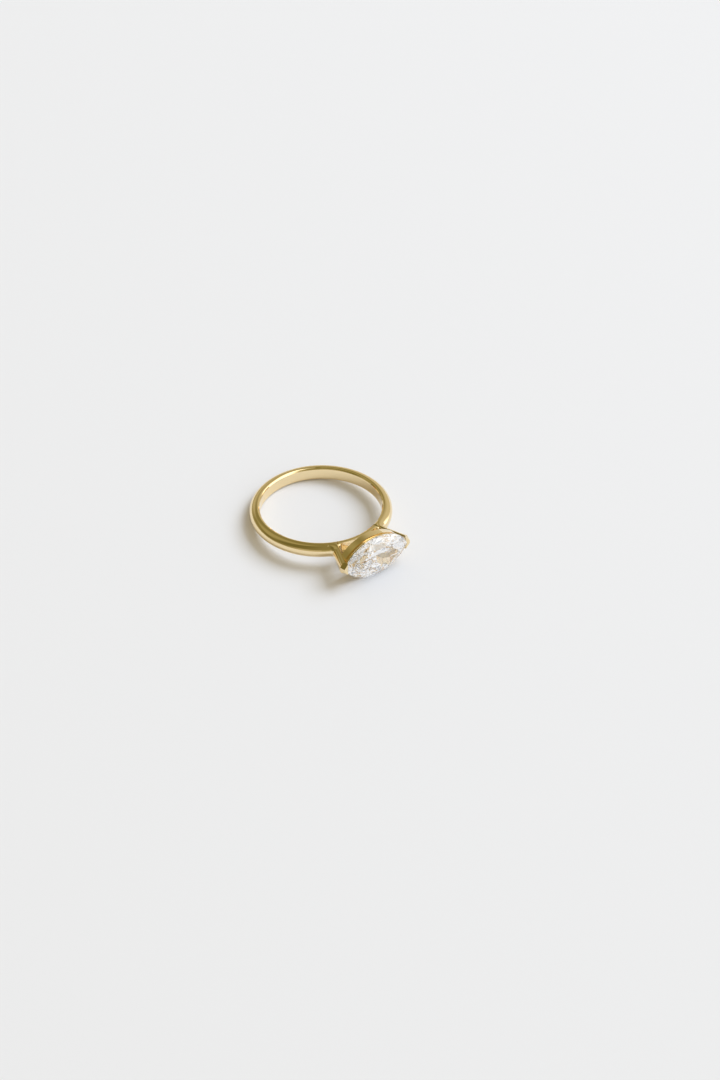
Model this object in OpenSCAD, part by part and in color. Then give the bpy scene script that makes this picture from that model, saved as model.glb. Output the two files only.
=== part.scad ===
// Solitaire ring: a half-round gold band whose two arms carry a marquise stone across the finger.
// Each piece is drawn upright, X along the stone, Y along the finger and Z up to the stone,
// with its origin in the centre of the finger hole, and is then laid on its side as it rests.

/* [Band] */
// Inner diameter, 16.5 is a US size 6
finger_d = 16.5; // [15:0.1:19]
// Thickness from the finger to the crest of the outer face
band_t = 1.42; // [1.3:0.02:1.7]
// Width along the finger
band_w = 2.0; // [1.8:0.1:2.2]
// Radius of the rounded edges at the finger hole
comfort_r = 0.38; // [0.2:0.02:0.4]
// Number of narrow bevels that round a quarter of such an edge or of the collet's rim
bevels = 5; // [3:1:6]

/* [Bridge and arms] */
// Thickness of the bridge under the stone
bridge_t = 0.72; // [0.6:0.02:0.9]
// Lean of the arms outwards from the vertical
arm_lean = 21; // [17:1:25]
// Thickness of the arms
arm_t = 0.9; // [0.8:0.05:1]
// Half the distance between the outer faces of the arms at the girdle
arm_reach = 5.8; // [5.6:0.05:6]
// Radius between the band and the outer face of an arm
root_r = 0.5; // [0.4:0.1:0.8]
// Radius between the bridge and the inner face of an arm
crotch_r = 0.9; // [0.7:0.1:1.1]
// Width of the bevels along the arms' inner edges
arm_edge = 0.16; // [0.1:0.02:0.24]

/* [Stone] */
// Length of the stone
stone_l = 10.5; // [10:0.1:11]
// Width of the stone
stone_w = 6.0; // [5.6:0.1:6.4]
// Height of the girdle's middle over the centre of the finger hole
girdle_z = 12.5; // [12.3:0.05:12.8]
// Height of the girdle itself
girdle_t = 0.16; // [0.1:0.02:0.24]
// Height of the crown over the girdle
crown_h = 0.9; // [0.7:0.05:1.1]
// Depth of the pavilion under the girdle
pavilion_h = 2.5; // [2.3:0.1:2.7]
// Width of the table as a share of the stone's width
table_share = 0.56; // [0.5:0.02:0.62]
// Number of flats along each long side of the girdle, an odd number
girdle_flats = 13; // [9:2:17]

/* [Collet and prongs] */
// Half width of the collet's wall at its top
wall_top_w = 2.74; // [2.68:0.02:2.8]
// Lean of the wall outwards from the vertical
wall_lean = 7; // [4:1:12]
// Height of the wall
wall_h = 1.1; // [1:0.05:1.3]
// Thickness of the wall
wall_t = 0.45; // [0.4:0.05:0.5]
// Height of the groove between the wall and the rim
groove_h = 0.38; // [0.3:0.02:0.44]
// Depth of the groove
groove_t = 0.24; // [0.16:0.02:0.26]
// Height of the rim at the collet's mouth
rim_h = 0.36; // [0.3:0.02:0.4]
// Half width of the collet over the rim
rim_w = 2.93; // [2.88:0.01:2.94]
// Distance from the rim up to the girdle
rim_drop = 0.08; // [0.06:0.02:0.2]
// Half width of the collet's mouth inside the rim
mouth_w = 2.04; // [1.9:0.02:2.2]
// Height of the prongs over the girdle's middle
prong_h = 0.24; // [0.2:0.02:0.32]
// Distance from the stone's middle to the inner ends of the prongs
prong_from = 4.65; // [4.4:0.05:4.8]
// Distance from the point of the stone to the two outer faces of a prong at the girdle's middle
prong_t = 0.32; // [0.28:0.02:0.4]
// Distance from the point to the narrow face between those two
nose_t = 0.2; // [0.18:0.01:0.26]
// Turn of the two faces from the prong's end
prong_turn = 42; // [36:1:46]
// Lean of all three faces inwards from the vertical
prong_lean = 16; // [10:1:24]
// Gap between the stone and the metal
seat_gap = 0.04; // [0.03:0.01:0.06]

/* [Hidden] */
$fn = 96;
bore_r = finger_d / 2;
crest_r = bore_r + band_t;
half_w = band_w / 2;
// The outer face is half round, so its centre line lies half a width under the crest.
round_r = crest_r - half_w;
bridge_r = bore_r + bridge_t;
// Where two rounded lengths meet, the bend stands this much prouder than its neighbours.
step = 0.004;
// Length of a straight arm inside its bend, and of a cut beyond what it cuts
overlap = 0.016;
overrun = 0.5;
// Depth of an arm's section before its inner side is cut
bend_t = half_w + overlap;
// Size of a block that is larger than the ring
far = 30;

// Crest line of an arm: a point on it at the girdle, its direction and its outward normal
arm_dir = [sin(arm_lean), cos(arm_lean)];
arm_out = [cos(arm_lean), -sin(arm_lean)];
arm_top = [arm_reach, girdle_z];
// Distance along a line, back from a start point, at which it comes as near the centre as r
function back_to(start, dir, r) = let (b = start * dir) b - sqrt(b * b - start * start + r * r);
root_start = arm_top + root_r * arm_out;
root_c = root_start - back_to(root_start, arm_dir, crest_r + root_r) * arm_dir;
root_angle = atan2(root_c[0], root_c[1]);
root_sweep = acos(root_c * arm_out / norm(root_c));
arm_foot = root_c - root_r * arm_out;
arm_len = norm(arm_top - arm_foot) + prong_h;
// Crotch circle between the bridge and the inner face of an arm
inner_top = arm_top - arm_t * arm_out;
crotch_start = inner_top - crotch_r * arm_out;
crotch_c = crotch_start - back_to(crotch_start, arm_dir, bridge_r + crotch_r) * arm_dir;

// Outline of the stone: two arcs that meet at its points
half_l = stone_l / 2;
half_s = stone_w / 2;
arc_r = (half_l * half_l + half_s * half_s) / (2 * half_s);
arc_c = arc_r - half_s;
arc_end = asin(half_l / arc_r);
girdle_top = girdle_z + girdle_t / 2;
girdle_low = girdle_z - girdle_t / 2;
// Reach of the outline towards the direction psi, counted from +Y towards +X
function reach(psi) =
    let (s = abs(sin(psi)), c = abs(cos(psi)))
    s > sin(arc_end) ? half_l * s : arc_r - arc_c * c;

// Radius of the two arcs of an outline with these half sizes
function boat_r(l, w) = (l * l + w * w) / (2 * w);
// Heights where the rim and the wall of the collet begin and end
rim_z = girdle_low - rim_drop - rim_h;
wall_z1 = rim_z - groove_h;
wall_z0 = wall_z1 - wall_h;
wall_r = boat_r(half_l, half_s * cos(wall_lean));
// The rim's round side stands a little over its flat faces.
bead_r = rim_h / 2 + step;

// The ring lies on the girdle's lower edge and on the rounded edge of the band opposite.
lie_dy = girdle_low + round_r;
lie_dz = arc_r * cos(arc_end / girdle_flats) - arc_c;
lie_angle = atan(lie_dz / lie_dy) - asin(half_w / norm([lie_dy, lie_dz]));
front_y = (girdle_z + crown_h) * cos(lie_angle) + lie_dz * sin(lie_angle);
back_y = round_r * cos(lie_angle) + half_w;
lie_y = (front_y - back_y) / 2;
lie_z = half_w + round_r * sin(lie_angle);

// Lays a piece that was drawn upright on its side, its stone to the front
module lay() {
    translate([0, lie_y, lie_z])
        rotate([90 - lie_angle, 0, 0])
            children();
}

// Turns a shape drawn in X and Z, and given as X and Y, to stand across the finger
module across(width) {
    rotate([90, 0, 0])
        linear_extrude(height = width, center = true)
            children();
}

// Section of the metal: its crest lies at x = 0, half round, and it is depth deep towards -x
module half_round(r, depth) {
    intersection() {
        translate([-r, 0])
            circle(r = r);
        translate([-r, -r])
            square([r, 2 * r]);
    }
    translate([-depth, -r])
        square([depth - r, 2 * r]);
}

// Points of a circle made of narrow bevels
function bevelled_round(r) = [for (i = [0:4 * bevels - 1]) r * [cos(90 * i / bevels), sin(90 * i / bevels)]];

// The sharp corners of the band beside the finger, where narrow bevels round them
module comfort_corners(r) {
    for (side = [-1, 1])
        translate([bore_r, side * r])
            difference() {
                square(2 * comfort_r, center = true);
                translate([comfort_r, -side * comfort_r])
                    polygon(bevelled_round(comfort_r));
            }
}

module band() {
    rotate([90, 0, 0])
        rotate_extrude()
            difference() {
                translate([crest_r - step, 0])
                    half_round(half_w - step, band_t - step);
                comfort_corners(half_w - step);
            }
}

// Bend from the band into an arm, and the arm up to its tip
module arm() {
    translate([root_c[0], 0, root_c[1]])
        rotate([90, 0, 0])
            rotate([0, 0, 270 - root_angle - root_sweep])
                rotate_extrude(angle = root_sweep)
                    translate([root_r, 0])
                        mirror([1, 0])
                            half_round(half_w, bend_t);
    translate([arm_foot[0], 0, arm_foot[1]])
        rotate([0, arm_lean, 0])
            translate([-step, 0, -overlap])
                linear_extrude(height = arm_len)
                    half_round(half_w - step, bend_t);
}

// Opening between the arms over the bridge. The corner circles cross the bridge and the arms
// instead of only touching them.
module window() {
    half = [
        crotch_c, crotch_c + crotch_r * arm_out,
        inner_top - (inner_top[0] - prong_from) / arm_dir[0] * arm_dir, [prong_from, 2 * girdle_z]
    ];
    across(2 * band_w)
        difference() {
            union() {
                polygon(concat([[0, 0]], half, [for (i = [3:-1:0]) [-half[i][0], half[i][1]]]));
                for (side = [-1, 1])
                    translate([side * crotch_c[0], crotch_c[1]])
                        circle(r = crotch_r + step);
            }
            circle(r = bridge_r);
        }
}

// Bevels along the inner edges of the straight arms
module arm_bevels() {
    len = (inner_top - crotch_c) * arm_dir;
    for (side = [0, 1], edge = [-1, 1])
        mirror([side, 0, 0])
            translate([inner_top[0], edge * half_w, inner_top[1]])
                rotate([0, arm_lean, 0])
                    rotate([0, 0, 45])
                        translate([-arm_edge, -arm_edge, -2 * len] / sqrt(2))
                            cube([sqrt(2) * arm_edge, sqrt(2) * arm_edge, 2 * len]);
}

// What is cut off the arms' ends: all over the prongs, and over their outer faces, which follow
// the point of the stone
module prong_cuts() {
    translate([-far / 2, -far / 2, girdle_z + prong_h])
        cube([far, far, far]);
    for (side = [0, 1], face = [[-prong_turn, prong_t], [0, nose_t], [prong_turn, prong_t]])
        mirror([side, 0, 0])
            translate([half_l, 0, girdle_z])
                rotate([0, 0, face[0]])
                    translate([face[1], -far / 2, 0])
                        rotate([0, -prong_lean, 0])
                            translate([0, 0, -overrun])
                                cube([far, far, far]);
}

// Solid between two leaning round flanks, half as wide as given at the height z
module boat(half_width, z, lean, r) {
    intersection_for (side = [0, 1])
        mirror([0, side, 0])
            translate([0, half_width, z])
                rotate([-lean, 0, 0])
                    translate([0, -r, -far / 2])
                        cylinder(r = r, h = far);
}

// Slab between two heights
module slab(z0, z1) {
    translate([-far / 2, -far / 2, z0])
        cube([far, far, z1 - z0]);
}

// Wall and the neck between it and the rim, their pointed ends inside the arms
module collet_wall() {
    difference() {
        union() {
            intersection() {
                boat(wall_top_w, wall_z1, wall_lean, wall_r);
                slab(wall_z0, wall_z1);
            }
            intersection() {
                boat(wall_top_w - groove_t, wall_z1, 0, arc_r - groove_t);
                slab(wall_z1 - overlap, rim_z + rim_h / 2);
            }
        }
        boat(wall_top_w - wall_t, wall_z1, wall_lean, wall_r - wall_t);
    }
}

// Rim at the mouth, flat under the stone and round on its outer side
module collet_rim() {
    difference() {
        intersection() {
            boat(rim_w - bead_r, rim_z, 0, arc_r - bead_r);
            slab(rim_z, rim_z + rim_h);
        }
        boat(mouth_w, rim_z, 0, arc_c + mouth_w);
    }
    for (side = [0, 1])
        mirror([0, side, 0])
            intersection() {
                translate([0, rim_w - arc_r, rim_z + rim_h / 2])
                    rotate_extrude()
                        translate([arc_r - bead_r, 0])
                            polygon(bevelled_round(bead_r));
                translate([-far / 2, 0, 0])
                    cube([far, far, far]);
            }
}

module collet() {
    collet_wall();
    collet_rim();
}

// Half space under a facet that faces psi, passes through the height z at the distance r from
// the middle and leans by slope from level. A negative slope makes the half space over a facet
// of the pavilion.
module under_facet(psi, r, z, slope, grow) {
    rotate([0, 0, -psi])
        translate([0, r + grow, z])
            rotate([-slope, 0, 0])
                translate([-far / 2, -far / 2, slope < 0 ? 0 : -far])
                    cube([far, far, far]);
}

girdle_points = concat(
    [for (i = [0:girdle_flats]) let (a = arc_end * (2 * i / girdle_flats - 1))
        [arc_r * sin(a), arc_r * cos(a) - arc_c]],
    [for (i = [1:girdle_flats - 1]) let (a = arc_end * (1 - 2 * i / girdle_flats))
        [arc_r * sin(a), arc_c - arc_r * cos(a)]]
);
// A facet of the crown through the height z, at the share t of the way out to the girdle. Its
// slope is steep times that of a straight line from the table's edge to the girdle.
function crown_facet(psi, t, z, steep) =
    [psi, t * reach(psi), z, atan(steep * crown_h / ((1 - table_share) * reach(psi)))];
// A facet that touches the pavilion's rounded form at the share t of the way out to the girdle
function keel_facet(psi, t) = [
    psi, t * reach(psi), girdle_low - pavilion_h * (1 - pow(t, keel_round)),
    -atan(keel_round * pow(t, keel_round - 1) * pavilion_h / reach(psi))
];
// The same facet in all four quarters of the stone
function quarters(psi) = [psi, 180 - psi, 180 + psi, 360 - psi];
star_steep = 0.6;
half_steep = 1.25;
keel_round = 1.25;
facets = concat(
    [for (psi = [0, 42, 90, 138, 180, 222, 270, 318]) crown_facet(psi, 1, girdle_top, 1)],
    [for (p = [12, 30, 52, 74], psi = quarters(p)) crown_facet(psi, 1, girdle_top, half_steep)],
    [for (p = [21, 66], psi = quarters(p)) crown_facet(psi, table_share, girdle_top + crown_h, star_steep)],
    [for (p = [6, 18, 30, 42, 54], psi = quarters(p)) keel_facet(psi, 0.94)],
    [for (psi = [0, 27, 53, 127, 153, 180, 207, 233, 307, 333]) keel_facet(psi, 0.62)],
    [for (p = [14, 42, 75], psi = quarters(p)) keel_facet(psi, 0.3)]
);

module marquise(grow) {
    intersection() {
        translate([0, 0, girdle_z - pavilion_h - overrun])
            linear_extrude(height = overrun + pavilion_h + girdle_t / 2 + crown_h + grow)
                polygon([for (p = girdle_points) p * (1 + grow / half_s)]);
        intersection_for (f = facets)
            under_facet(f[0], f[1], f[2], f[3], grow);
    }
}

module gold_ring() {
    color([0.86, 0.72, 0.44])
        lay()
            difference() {
                union() {
                    difference() {
                        union() {
                            band();
                            arm();
                            mirror([1, 0, 0])
                                arm();
                        }
                        window();
                        arm_bevels();
                        prong_cuts();
                    }
                    collet();
                }
                marquise(seat_gap);
            }
}

module marquise_stone() {
    color([0.95, 0.97, 1.0])
        lay()
            marquise(0);
}

gold_ring();
marquise_stone();
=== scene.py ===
# %% [markdown]
# A gold solitaire ring that lies on a pale table. The ring is a half-round band of yellow gold.
# Two arms rise from it and hold a marquise diamond by its two points, and an open collet, boat
# shaped like the stone, carries it in between. The solids come packed from CAD. This lesson makes a
# picture of them: it gives the metal and the stone their finishes, and sets up the table, the
# light and the camera.
# All lengths are in metres. The stone points to the front, towards -Y, and +Z is up.

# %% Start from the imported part
import math

import bmesh
import bpy
from mathutils import Matrix, Vector

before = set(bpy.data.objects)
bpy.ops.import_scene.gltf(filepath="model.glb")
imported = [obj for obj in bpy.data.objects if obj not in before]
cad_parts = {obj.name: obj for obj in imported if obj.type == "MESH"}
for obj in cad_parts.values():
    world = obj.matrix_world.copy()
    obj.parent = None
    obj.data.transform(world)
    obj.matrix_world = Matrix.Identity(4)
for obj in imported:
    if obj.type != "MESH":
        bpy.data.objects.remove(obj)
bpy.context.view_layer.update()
scene = bpy.context.scene


print("CAD nodes:", sorted(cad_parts))

# %% [markdown]
# Each finish is a small tree of nodes. They could be placed by hand in the shader editor, but a
# script can be run again and read later. A helper keeps it short: it adds a node, sets its plain
# values, and joins the sockets that feed it. Another one starts an empty material, and a third
# mixes two colours. The Mix node has inputs for numbers, vectors and colours under the same
# names, so its colour sockets are picked by their numbers.

# %% Node helpers
MIX_FIRST, MIX_SECOND, MIX_RESULT = 6, 7, 2


def add_node(tree, kind, values=None, **settings):
    """Adds a node. values maps input names or numbers to plain values or to sockets."""
    node = tree.nodes.new(kind)
    for name, value in settings.items():
        setattr(node, name, value)
    for key, value in (values or {}).items():
        if isinstance(value, bpy.types.NodeSocket):
            tree.links.new(value, node.inputs[key])
        else:
            node.inputs[key].default_value = value
    return node


def new_material(name):
    material = bpy.data.materials.new(name)
    material.use_nodes = True
    material.node_tree.nodes.clear()
    return material, material.node_tree


def mix_colours(tree, factor, first, second):
    values = {"Factor": factor, MIX_FIRST: first, MIX_SECOND: second}
    return add_node(tree, "ShaderNodeMix", values, data_type="RGBA").outputs[MIX_RESULT]


def opaque(colour):
    return (*colour, 1.0)


print("Colour sockets of a Mix node:", MIX_FIRST, MIX_SECOND, MIX_RESULT)

# %% [markdown]
# The metal is 14 carat yellow gold. The jeweller files and sands the casting and then polishes it
# on a felt wheel, until it mirrors the room. What stays is a faint haze that differs from spot to
# spot, so a cloud of noise drives the roughness from nearly none to a little. The alloy isn't
# quite even either: a wider cloud moves the colour between two golds that lie close together. A
# painted picture of wear could do the same, but noise has no seams and needs no unwrapping. Both
# clouds use Object coordinates, which keep them on the metal however the ring is turned.

# %% Gold finish
HAZE_SCALE = 900.0
HAZE_DETAIL = 3.0
SMOOTHEST = 0.015
HAZIEST = 0.05
ALLOY_SCALE = 160.0
RICH_GOLD = (0.94, 0.755, 0.44)
PALE_GOLD = (0.94, 0.775, 0.48)
gold, tree = new_material("polished_gold")
place = add_node(tree, "ShaderNodeTexCoord").outputs["Object"]
haze = add_node(tree, "ShaderNodeTexNoise", {
    "Vector": place, "Scale": HAZE_SCALE, "Detail": HAZE_DETAIL})
rough = add_node(tree, "ShaderNodeMapRange", {
    "Value": haze.outputs["Fac"], "To Min": SMOOTHEST, "To Max": HAZIEST})
alloy = add_node(tree, "ShaderNodeTexNoise", {"Vector": place, "Scale": ALLOY_SCALE})
tone = mix_colours(tree, alloy.outputs["Fac"], opaque(RICH_GOLD), opaque(PALE_GOLD))
metal = add_node(tree, "ShaderNodeBsdfPrincipled", {
    "Base Color": tone, "Metallic": 1.0, "Roughness": rough.outputs["Result"]})
add_node(tree, "ShaderNodeOutputMaterial", {"Surface": metal.outputs["BSDF"]})
print("Gold tree:", len(tree.nodes), "nodes")

# %% [markdown]
# The stone is a colourless diamond, sawn, bruted to its boat shape and then polished facet by
# facet on an iron wheel with diamond dust. Its index of refraction is 2.42, so light that enters
# through the table bounces off the pavilion and comes back out: that is the stone's life. One
# Principled shader with full transmission does this, and unlike a refraction and a gloss mixed by
# hand it can be exported. A real stone isn't perfectly white, so a soft cloud lets its colour
# wander a little. Shadow rays would find the stone opaque, because a renderer doesn't bend them.
# So for them alone it is merely clear, and lets its light through to the metal and the table.

# %% Diamond finish
DIAMOND_IOR = 2.42
GROWTH_SCALE = 300.0
WATER_WHITE = (1.0, 1.0, 1.0)
ICE_WHITE = (0.98, 0.985, 1.0)
STONE_SHADOW = (0.9, 0.9, 0.9)
diamond, tree = new_material("cut_diamond")
place = add_node(tree, "ShaderNodeTexCoord").outputs["Object"]
growth = add_node(tree, "ShaderNodeTexNoise", {"Vector": place, "Scale": GROWTH_SCALE})
water = mix_colours(tree, growth.outputs["Fac"], opaque(WATER_WHITE), opaque(ICE_WHITE))
crystal = add_node(tree, "ShaderNodeBsdfPrincipled", {
    "Base Color": water, "Roughness": 0.0, "IOR": DIAMOND_IOR, "Transmission Weight": 1.0})
clear = add_node(tree, "ShaderNodeBsdfTransparent", {"Color": opaque(STONE_SHADOW)})
path = add_node(tree, "ShaderNodeLightPath")
both = add_node(tree, "ShaderNodeMixShader", {
    0: path.outputs["Is Shadow Ray"], 1: crystal.outputs["BSDF"], 2: clear.outputs["BSDF"]})
add_node(tree, "ShaderNodeOutputMaterial", {"Surface": both.outputs["Shader"]})
print("Diamond tree:", len(tree.nodes), "nodes")

# %% [markdown]
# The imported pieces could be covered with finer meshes, but the CAD already holds every edge of the
# metal and every facet of the stone. So they keep their meshes, and only take on their finishes.

# %% Dress the pieces
for name, material in (("gold_ring", gold), ("marquise_stone", diamond)):
    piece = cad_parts[name]
    piece.data.materials.clear()
    piece.data.materials.append(material)
    print(name, "wears", material.name)

# %% [markdown]
# The photo shows a sheet of smooth pale card. It takes up the whole picture and its horizon is
# never seen, so it needs no sweep at the back as in a studio. The table here is one large square
# at the height where the ring rests. It is matt, with a trace of gloss.

# %% Table
TABLE_HALF = 2.0
CARD_WHITE = (0.83, 0.826, 0.818)
table_mesh = bpy.data.meshes.new("table")
table = bpy.data.objects.new("table", table_mesh)
scene.collection.objects.link(table)
shape = bmesh.new()
bmesh.ops.create_grid(shape, x_segments=1, y_segments=1, size=TABLE_HALF)
shape.to_mesh(table_mesh)
shape.free()
card, tree = new_material("pale_card")
matt = add_node(tree, "ShaderNodeBsdfPrincipled", {
    "Base Color": opaque(CARD_WHITE), "Roughness": 0.9, "Specular IOR Level": 0.1})
add_node(tree, "ShaderNodeOutputMaterial", {"Surface": matt.outputs["BSDF"]})
table_mesh.materials.append(card)
print("Table:", 2 * TABLE_HALF, "m square")

# %% [markdown]
# Polished gold has hardly a look of its own: it shows the room. A picture of a room could be
# wrapped around the scene, but a few painted zones are enough and stay easy to change. The left
# and the far ceiling are dark, the far wall is tan, and a bright window stands on the right, as
# the bright and dark lines along the real ring tell. Directions are turns around the photo's own
# right and away axes, which are fixed in the room: 0 degrees is away, 90 is right, and 180 is
# where the photographer stood.

# %% Directions in the room
RIGHT = (0.805, -0.594, 0.0)
AWAY = (0.594, 0.805, 0.0)
world = bpy.data.worlds.new("studio")
scene.world = world
world.use_nodes = True
tree = world.node_tree
tree.nodes.clear()
sight = add_node(tree, "ShaderNodeTexCoord").outputs["Generated"]
height = add_node(tree, "ShaderNodeSeparateXYZ", {0: sight}).outputs["Z"]
to_right = add_node(tree, "ShaderNodeVectorMath", {0: sight, 1: RIGHT}, operation="DOT_PRODUCT")
to_away = add_node(tree, "ShaderNodeVectorMath", {0: sight, 1: AWAY}, operation="DOT_PRODUCT")
turn = add_node(tree, "ShaderNodeMath", {
    0: to_right.outputs["Value"], 1: to_away.outputs["Value"]}, operation="ARCTAN2")
around = add_node(tree, "ShaderNodeMapRange", {
    "Value": turn.outputs[0], "From Min": -math.pi, "From Max": math.pi})


def share(degrees):
    """Place of a direction along a ramp that starts at the photographer and goes past the left."""
    return (degrees + 180) / 360


print("Left, away and right lie at", share(-90), share(0), share(90), "of the way round")

# %% [markdown]
# A ramp holds the tones all the way round. There is one for the room high up, one for the
# walls and one for what stands near the table's height, and they blend in between. The dark
# ceiling on the far side draws the dark line along the top of the band. Seven tones, from dark to
# the window, are all that the room is painted with.

# %% The room that the gold mirrors
def room_ramp(stops):
    node = add_node(tree, "ShaderNodeValToRGB", {"Fac": around.outputs["Result"]})
    elements = node.color_ramp.elements
    elements.remove(elements[1])
    elements[0].color = opaque(stops[0][1])
    for degrees, colour in stops[1:]:
        elements.new(share(degrees)).color = opaque(colour)
    return node.outputs["Color"]


def rise(low_z, high_z):
    """Goes from 0 to 1 as a direction rises from one height to another."""
    values = {"Value": height, "From Min": low_z, "From Max": high_z}
    node = add_node(tree, "ShaderNodeMapRange", values, interpolation_type="SMOOTHSTEP")
    return node.outputs["Result"]


DARK = (0.17, 0.15, 0.05)
OLIVE = (0.25, 0.22, 0.09)
BRONZE = (0.38, 0.34, 0.17)
SAND = (0.49, 0.44, 0.29)
TAN = (0.62, 0.57, 0.42)
CREAM = (0.86, 0.84, 0.80)
WINDOW = (1.9, 1.85, 1.75)
ceiling = room_ramp([
    (-180, OLIVE), (-130, DARK), (-105, DARK), (-80, BRONZE), (-50, BRONZE), (-30, OLIVE),
    (-5, OLIVE), (10, SAND), (28, TAN), (50, TAN), (58, WINDOW), (118, WINDOW), (135, BRONZE),
    (155, OLIVE)])
walls = room_ramp([
    (-180, SAND), (-150, SAND), (-125, OLIVE), (-90, DARK), (-70, OLIVE), (-50, OLIVE),
    (-30, SAND), (-12, SAND), (8, TAN), (50, TAN), (60, WINDOW), (122, WINDOW), (140, TAN),
    (160, BRONZE)])
low = room_ramp([
    (-180, CREAM), (-125, CREAM), (-108, SAND), (-85, BRONZE), (-68, SAND), (-45, BRONZE),
    (-28, BRONZE), (0, TAN), (45, TAN), (60, WINDOW), (122, WINDOW), (140, CREAM)])
up_to_walls = mix_colours(tree, rise(0.06, 0.20), low, walls)
mirrored = mix_colours(tree, rise(0.40, 0.55), up_to_walls, ceiling)
print("Room tree:", len(tree.nodes), "nodes")

# %% [markdown]
# The card is lit by the whole room at once, and only its sum counts: warm and dim from the
# left, brighter from the right. What is seen through the stone is nearly white too, but a
# jeweller knows that a brilliant needs something dark to play against. So the place where the
# photographer stood is grey, as in life. The kind of ray says which of the three rooms it meets.

# %% The room as light
LIGHT_FROM_LEFT = (0.42, 0.36, 0.25)
LIGHT_FROM_RIGHT = (0.80, 0.78, 0.72)
BRIGHT = (1.0, 1.0, 1.0)
PHOTOGRAPHER = (0.34, 0.36, 0.39)
ray = add_node(tree, "ShaderNodeLightPath")
soft = room_ramp([
    (-150, LIGHT_FROM_LEFT), (-30, LIGHT_FROM_LEFT), (30, LIGHT_FROM_RIGHT), (150, LIGHT_FROM_RIGHT)])
in_stone = room_ramp([
    (-180, PHOTOGRAPHER), (-150, PHOTOGRAPHER), (-128, BRIGHT), (128, BRIGHT), (150, PHOTOGRAPHER)])
seen = mix_colours(tree, ray.outputs["Is Glossy Ray"], soft, mirrored)
through = mix_colours(tree, ray.outputs["Is Transmission Ray"], seen, in_stone)
sky = add_node(tree, "ShaderNodeBackground", {"Color": through, "Strength": 1.0})
add_node(tree, "ShaderNodeOutputWorld", {"Surface": sky.outputs["Background"]})
print("Whole room tree:", len(tree.nodes), "nodes")

# %% [markdown]
# The shadows in the photo fall to the lower left and have soft edges. A sun would draw them
# sharp, so the main light is a broad square lamp, like a softbox, at the upper right. It is cooler
# than the room, which leaves the shadows warm. Neither the gold nor the stone may show the lamp as
# a square, so the rays that they send out pass it by.

# %% Lamp
LAMP_AT = Vector((1.85, -0.2, 2.0))
LAMP_SIDE = 1.8
LAMP_WATTS = 65.0
LAMP_COLOUR = (0.74, 0.826, 1.0)
lamp_data = bpy.data.lights.new("soft_key", "AREA")
lamp_data.size = LAMP_SIDE
lamp_data.energy = LAMP_WATTS
lamp_data.color = LAMP_COLOUR
lamp = bpy.data.objects.new("soft_key", lamp_data)
scene.collection.objects.link(lamp)
lamp.location = LAMP_AT
lamp.rotation_euler = (-LAMP_AT).to_track_quat("-Z", "Y").to_euler()
lamp.visible_glossy = False
lamp.visible_transmission = False
print("Lamp:", round(LAMP_AT.length, 2), "m from the ring")

# %% [markdown]
# The camera stands where the photo was taken: front left of the ring and above it. It could be
# placed by eye, but a ring's hole is a circle, and its outline fixes the view far better. So the
# place, the aim and the slight roll were fitted to the outlines of the band's hole, of the arms
# and of the stone in the photo.

# %% Camera
CAMERA_AT = Vector((-0.184405, -0.235244, 0.265925))
CAMERA_AIM = Vector((0.002117, -0.004196, 0.0))
CAMERA_ROLL = math.radians(3.742)
SENSOR_LONG_SIDE = 36.0
LENS = 98.67
NEAREST_SEEN = 0.01
camera_data = bpy.data.cameras.new("camera")
camera_data.sensor_fit = "AUTO"
camera_data.sensor_width = SENSOR_LONG_SIDE
camera_data.lens = LENS
camera_data.clip_start = NEAREST_SEEN
camera = bpy.data.objects.new("camera", camera_data)
scene.collection.objects.link(camera)
look = (CAMERA_AIM - CAMERA_AT).to_track_quat("-Z", "Y").to_matrix().to_4x4()
roll = Matrix.Rotation(CAMERA_ROLL, 4, "Z")
camera.matrix_world = Matrix.Translation(CAMERA_AT) @ look @ roll
scene.camera = camera
print("Camera:", round((CAMERA_AIM - CAMERA_AT).length, 3), "m from its aim")

# %% [markdown]
# A standard view keeps the pale card pale. Light crosses the stone and the inside of the collet
# many times before it leaves them. With few bounces such paths end black, as dark specks in the
# stone, so more of them are allowed here than is usual.

# %% View and bounces
BOUNCES = 48
GOLD_BOUNCES = 32
scene.view_settings.view_transform = "Standard"
scene.cycles.max_bounces = BOUNCES
scene.cycles.glossy_bounces = GOLD_BOUNCES
scene.cycles.transmission_bounces = BOUNCES
print("Bounces:", BOUNCES, "and on the metal", GOLD_BOUNCES)
